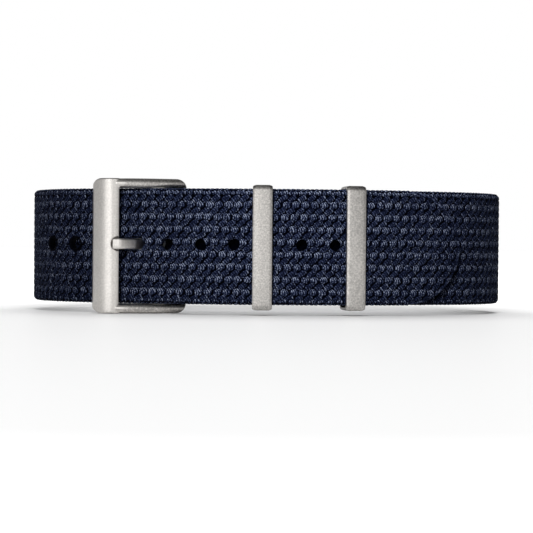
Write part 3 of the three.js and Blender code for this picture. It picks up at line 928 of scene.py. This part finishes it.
def rod(name, line, thickness, bottom, top, power):
    """A rounded bar along a line: its section is a rounded rectangle, a superellipse of this power."""
    along = np.gradient(line, axis=0)
    along /= np.linalg.norm(along, axis=1, keepdims=True)
    across = np.stack([along[:, 1], -along[:, 0]], -1)
    turn = np.linspace(0, 2 * math.pi, 48, endpoint=False)
    side = np.sign(np.cos(turn)) * np.abs(np.cos(turn)) ** (2 / power) * thickness / 2
    rise = np.sign(np.sin(turn)) * np.abs(np.sin(turn)) ** (2 / power) * (top - bottom) / 2
    points = []
    for place, normal in zip(line, across):
        for a, b in zip(side, rise):
            points.append((*(place + normal * a), (bottom + top) / 2 + b))
    return closed_solid(name, points, len(turn))


def cast(name, parts, cutters, mask, voxel, passes):
    """Fuses overlapping solids into one casting with softly rounded edges."""
    steps = [("BOOLEAN", dict(operation="DIFFERENCE", object=c, solver="EXACT")) for c in cutters]
    if mask:
        steps.append(("BOOLEAN", dict(operation="INTERSECT", object=mask, solver="EXACT")))
    points, faces = [], []
    for part in parts:
        evaluated(part, *steps)
        outward(part)
        base = len(points)
        points += [tuple(v.co) for v in part.data.vertices]
        faces += [tuple(base + i for i in p.vertices) for p in part.data.polygons]
    obj = new_object(name, points, faces)
    for spare in [*parts, *cutters, *([mask] if mask else [])]:
        bpy.data.objects.remove(spare)
    evaluated(obj, ("REMESH", dict(mode="VOXEL", voxel_size=voxel)))
    evaluated(obj, ("SMOOTH", dict(factor=0.5, iterations=passes)))
    finish_steel(obj)
    return obj


def notch(edge):
    """The cutter for the tongue's seat: a round bite out of the front bar's edge."""
    radius, depths = 1.22, (-3.5, -1.5)
    middle = -26.7 + radius
    turn = np.linspace(math.pi / 2, math.pi * 1.5, 24)
    s = np.r_[middle + radius * np.cos(turn), edge + 0.6, edge + 0.6]
    z = HOLE_HEIGHT + np.r_[radius * np.sin(turn), -radius, radius]
    points = np.concatenate([np.concatenate([at(s, d), z[:, None]], -1) for d in depths])
    return closed_solid("notch", points, len(s))


def front_bar_outline():
    """The front bar's section: a quarter ellipse on the left, a flatter arc down to a free edge on the
    right, and an underside that leaves the strap clear below that edge."""
    first, last = FRONT_BAR_S
    left = np.linspace(0, math.pi / 2, 40)
    right = np.linspace(0, math.radians(50), 30)[1:]
    wide = (last - FRONT_BAR_CREST_S) / math.sin(right[-1])
    s = np.r_[FRONT_BAR_CREST_S - (FRONT_BAR_CREST_S - first) * np.cos(left),
              FRONT_BAR_CREST_S + wide * np.sin(right), last - 0.35, -27.0]
    depth = np.r_[-GAP - FRONT_BAR_RISE * np.sin(left),
                  -GAP - FRONT_BAR_RISE + 0.85 * wide * (1 - np.cos(right)), -1.0, -GAP]
    return at(s, depth)


def frame_mask(hinge):
    """The frame seen from the front, with its rounded outer corners, as a block to keep it inside."""
    left = at(FRONT_BAR_S[0], -1.0)[0]
    right = hinge[0] + EYE_RADIUS
    outline = rounded_rect(left, -0.01, right, BUCKLE_HEIGHT + 0.01, 1.9, 14)
    return closed_solid("mask", [(x, y, z) for y in (-20, 20) for x, z in outline], len(outline))


def make_buckle():
    places = [(-29.4, -0.5), (-26, -0.5), (-22.4, 0.5), (-19.2, 2.1), (HINGE_S, HINGE_DEPTH), (-15.2, 4.4)]
    arm = spline(places, 70)
    hinge = at(HINGE_S, HINGE_DEPTH)
    top = BUCKLE_HEIGHT
    parts = [prism("front_bar", front_bar_outline(), 0, top)]
    for low, high in ((0, ARM_THICKNESS + ARM_LIP), (top - ARM_THICKNESS - ARM_LIP, top)):
        parts.append(rod("arm", arm, ARM_DEPTH, low, high, 2.2))
    cutters = [
        prism("bore", disc(hinge, 0.45, 24), 0.5, ARM_THICKNESS + 1),
        prism("bore", disc(hinge, 0.45, 24), top - ARM_THICKNESS - 1, top - 0.5),
        notch(FRONT_BAR_S[1]),
    ]
    obj = cast("buckle", parts, cutters, mask=frame_mask(hinge), voxel=0.105, passes=7)
    # Painted shade: the arms past the front bar are darkened, and made rougher, through the blasting
    # attribute
    past_bar = np.array([v.co.x for v in obj.data.vertices]) / MM - at(FRONT_BAR_S[1], 0.0)[0]
    set_blast_and_shade(obj, 1.5 * ease(past_bar, 0.0, 0.9))
    dress(obj, SATIN, "satin_steel", "buckle", "buckle_frame")


def make_tongue():
    places = [
        (-17.4, 3.95), (-19.4, 3.85), (-21.5, 2.9), (-22.95, 1.1), (-23.55, 0.15),
        (-24.12, -0.85), (-24.68, -1.75), (-25.15, -2.15), (-25.6, -2.22), (-26.25, -2.25),
    ]
    hinge = at(HINGE_S, HINGE_DEPTH)
    bottom, top = HOLE_HEIGHT - TONGUE_WIDTH / 2, HOLE_HEIGHT + TONGUE_WIDTH / 2
    bore = BARREL_RADIUS + 0.15
    shank = rod("shank", spline(places, 60), TONGUE_THICKNESS, bottom, top, 5)
    eye = prism("roll", disc(hinge, bore + 0.55), bottom, top)
    hole = prism("bore", disc(hinge, bore), bottom - 1, top + 1)
    obj = cast("tongue", [shank, eye], [hole], mask=None, voxel=0.06, passes=4)
    dress(obj, SATIN, "satin_steel", "tongue", "buckle_tongue")


# --- Stage --------------------------------------------------------------------------------------

FILL = 0.05            # the room's light on surfaces that aren't polished

# Each lamp: place, width, power, and whether it lights the floor, the band or both
LAMPS = [
    ("front", (0.08, -0.72, 0.20), 0.24, 0.1, "band"),
    ("overhead", (0.0, 0.30, 0.55), 0.50, 2.3, "both"),
    ("sweep", (0.0, -0.50, 0.60), 0.50, 4.7, "floor"),
    ("behind", (-0.12, 0.62, 0.26), 0.30, 1.6, "band"),
]

# The key is a narrow spot, a little brighter in the middle of the band than at its ends
KEY_PLACE = (-0.14, -0.60, 0.34)
KEY_AIM = (0.008, 0, 0.012)
KEY_POWER = 24.0
KEY_CONE = 8.4
KEY_RADIUS = 0.03

# The floor glows for the camera alone, so that it runs into the white beyond: the middle of the
# unlit part, its radius and where the glow is full
GLOW_MIDDLE = (0, -0.1, 0)
GLOW_REACH = (0.11, 0.26)

# The room as the steel sees it: brightness by direction, in degrees from the camera's side
# towards +X
ROOM = [
    (-180, 1.3), (-150, 0.85), (-120, 0.58), (-70, 0.65), (-54, 0.76), (-38, 2.3), (-9, 2.7),
    (-1, 0.95), (5, 0.75), (12, 1.9), (20, 1.5), (30, 0.6), (50, 0.42), (100, 0.32),
    (140, 0.32), (165, 0.90), (180, 1.3),
]

CAMERA_Y = -0.3216
FOCAL_LENGTH = 118.2
CAMERA_PITCH, CAMERA_ROLL = math.radians(0.64), math.radians(0.49)


def make_floor():
    corners = [(-6, -6, 0), (6, -6, 0), (6, 6, 0), (-6, 6, 0)]
    floor = new_object("floor", corners, [(0, 1, 2, 3)], smooth=False)
    floor.location.z = -0.0001
    material, tree, shader = new_material("floor", Roughness=0.5, Specular_IOR_Level=0.15)
    path = node(tree, "ShaderNodeLightPath")
    shade = mix(tree, object_noise(tree, 3.0), (0.84, 0.84, 0.84, 1), (0.86, 0.86, 0.86, 1))
    # To the band the floor is dark, so little light comes back up
    shade = mix(tree, path.outputs["Is Diffuse Ray"], shade, (0.14, 0.14, 0.15, 1))
    tree.links.new(shade, shader.inputs["Base Color"])
    where = node(tree, "ShaderNodeTexCoord").outputs["Object"]
    away = node(tree, "ShaderNodeVectorMath", {0: where, 1: GLOW_MIDDLE}, operation="DISTANCE")
    beyond = ramp(tree, away.outputs["Value"], *GLOW_REACH)
    glow = math_node(tree, "MULTIPLY_ADD", beyond, 0.91, 0.09)
    glow = math_node(tree, "MULTIPLY", glow, path.outputs["Is Camera Ray"])
    shader.inputs["Emission Color"].default_value = (1, 1, 1, 1)
    tree.links.new(glow, shader.inputs["Emission Strength"])
    floor.data.materials.append(material)
    return floor


def choose(tree, factor, a, b):
    """a where the factor is 0 and b where it is 1."""
    return node(tree, "ShaderNodeMix", {"Factor": factor, 2: a, 3: b}, data_type="FLOAT").outputs[0]


def make_room():
    """White for the camera, a dim even fill for fabric, and the room's bright and dark sides for steel."""
    room = bpy.data.worlds.new("studio")
    room.use_nodes = True
    room.cycles.sampling_method = "NONE"
    bpy.context.scene.world = room
    tree = room.node_tree
    back = tree.nodes["Background"]
    where = node(tree, "ShaderNodeTexCoord").outputs["Generated"]
    direction = node(tree, "ShaderNodeSeparateXYZ", {0: where})
    ahead = math_node(tree, "MULTIPLY", direction.outputs["Y"], -1.0)
    around = math_node(tree, "ARCTAN2", direction.outputs["X"], ahead)
    around = math_node(tree, "MULTIPLY_ADD", around, 0.5 / math.pi, 0.5)
    sides = shades(tree, around, [((a + 180) / 360, (b, b, b)) for a, b in ROOM])
    rise = node(tree, "ShaderNodeMapRange", {
        "Value": direction.outputs["Z"], "From Min": 0.05, "From Max": 0.5, "To Min": 1.0, "To Max": 0.15})
    sides = math_node(tree, "MULTIPLY", sides, rise.outputs[0])
    path = node(tree, "ShaderNodeLightPath")
    strength = choose(tree, path.outputs["Is Diffuse Ray"], sides, FILL)
    strength = choose(tree, path.outputs["Is Camera Ray"], strength, 1.0)
    back.inputs["Color"].default_value = (1, 1, 1, 1)
    tree.links.new(strength, back.inputs["Strength"])


def make_lamps(floor):
    receivers = {"both": None}
    for lit, name, state in (("floor", "floor_only", "INCLUDE"), ("band", "all_but_floor", "EXCLUDE")):
        receivers[lit] = bpy.data.collections.new(name)
        receivers[lit].objects.link(floor)
        receivers[lit].collection_objects[0].light_linking.link_state = state

    def add_lamp(light, place, aim, lit):
        lamp = bpy.data.objects.new(light.name, light)
        lamp.location = place
        lamp.rotation_euler = (Vector(aim) - Vector(place)).to_track_quat("-Z", "Y").to_euler()
        lamp.visible_glossy = False
        if receivers[lit]:
            lamp.light_linking.receiver_collection = receivers[lit]
        bpy.context.scene.collection.objects.link(lamp)

    for name, place, size, power, lit in LAMPS:
        light = bpy.data.lights.new(name, "AREA")
        light.size = size
        light.energy = power
        add_lamp(light, place, (0, 0, EYE_HEIGHT * MM), lit)
    key = bpy.data.lights.new("key", "SPOT")
    key.energy = KEY_POWER
    key.shadow_soft_size = KEY_RADIUS
    key.spot_size = math.radians(KEY_CONE)
    key.spot_blend = 1.0
    add_lamp(key, KEY_PLACE, KEY_AIM, "band")


def make_camera():
    camera = bpy.data.cameras.new("camera")
    camera.sensor_width = 36
    camera.lens = FOCAL_LENGTH
    camera.clip_start = 0.01
    eye = bpy.data.objects.new("camera", camera)
    eye.location = (0, CAMERA_Y, EYE_HEIGHT * MM)
    tilt = Euler((math.pi / 2 - CAMERA_PITCH, 0, 0)).to_matrix()
    eye.rotation_euler = (tilt @ Euler((0, 0, CAMERA_ROLL)).to_matrix()).to_euler()
    scene = bpy.context.scene
    scene.collection.objects.link(eye)
    scene.camera = eye
    scene.view_settings.view_transform = "Standard"


studio_floor = make_floor()
make_room()
make_lamps(studio_floor)
make_camera()
make_strap()
make_flap()
make_tacks()
for number, body in enumerate(("keeper_near_buckle", "keeper_near_tip")):
    s = KEEPER_S[number]
    make_keeper(f"keeper_{number + 1}", body, at(s, 0.0), float(station(s)[3]))
make_keeper("keeper_3", "keeper_of_flap", (FLAP_KEEPER_X, BACK_Y), math.pi)
make_buckle()
make_tongue()
for name in ("bar_barrel", "bar_pivot_lower", "bar_pivot_upper", "bar_spring"):
    mesh = frame["nodes"][name].data
    mesh.materials.clear()
    mesh.materials.append(BRIGHT)
